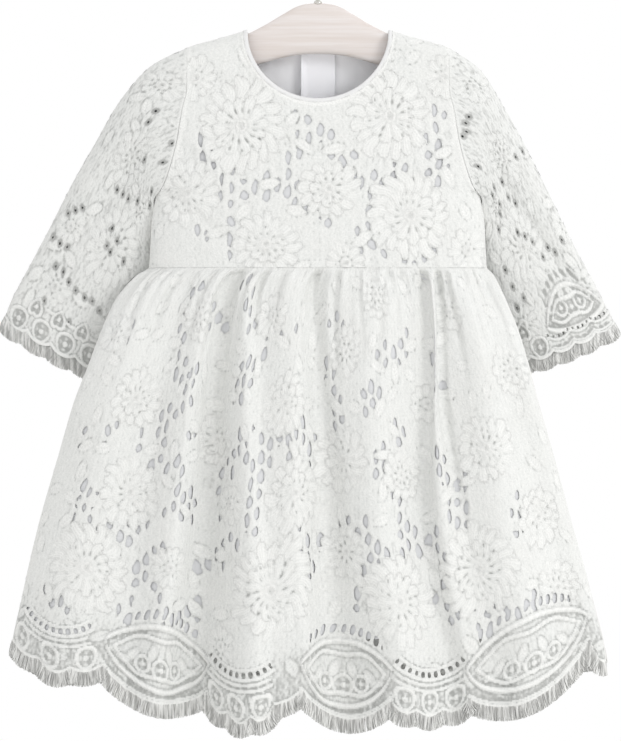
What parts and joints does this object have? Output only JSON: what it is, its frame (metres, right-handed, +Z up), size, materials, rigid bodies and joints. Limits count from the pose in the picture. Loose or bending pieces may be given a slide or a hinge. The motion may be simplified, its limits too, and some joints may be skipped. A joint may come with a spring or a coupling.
{
  "type": "christening gown on a hanger",
  "caption": "Child's white lace gown with a round bound neck, wide lace sleeves, plain lining and a gathered skirt with a scalloped, fringed hem, on a curved wooden hanger with a wire hook.",
  "frame": {"origin": "top of the inside of the hook's loop, where a rail or peg carries the hanger", "axes": "+Z up along the gown's length, -Y out of its front, +X towards its right edge as seen from the front"},
  "size_m": [0.4477, 0.091, 0.5881],
  "materials": {
    "lace": "thick cotton lace, washed out to raised threads and open gaps, matt white",
    "lining": "fine plain-woven cotton, soft cool white",
    "binding": "narrow folded cotton binding, smooth white",
    "fringe": "fine cotton eyelash threads, white",
    "wood": "white-washed wood, satin lacquer with faint grain",
    "steel": "nickel-plated steel wire",
    "button": "white shirt button, polished"
  },
  "bodies": {
    "root": {"hanger_body": "wood", "hanger_hook": "steel", "bodice_front": "lace", "bodice_back_left": "lace", "bodice_back_right": "lace", "bodice_lining_front": "lining", "bodice_lining_back_left": "lining", "bodice_lining_back_right": "lining", "neck_binding": "binding", "back_placket": "binding", "back_button_1": "button", "back_button_2": "button", "back_button_3": "button", "skirt_front": "lace", "skirt_back": "lace", "skirt_lining_front": "lining", "skirt_lining_back": "lining", "sleeve_left_front": "lace", "sleeve_left_back": "lace", "sleeve_right_front": "lace", "sleeve_right_back": "lace", "hem_fringe_front": "fringe", "hem_fringe_back": "fringe", "cuff_fringe_left": "fringe", "cuff_fringe_right": "fringe"}
  },
  "joints": []
}
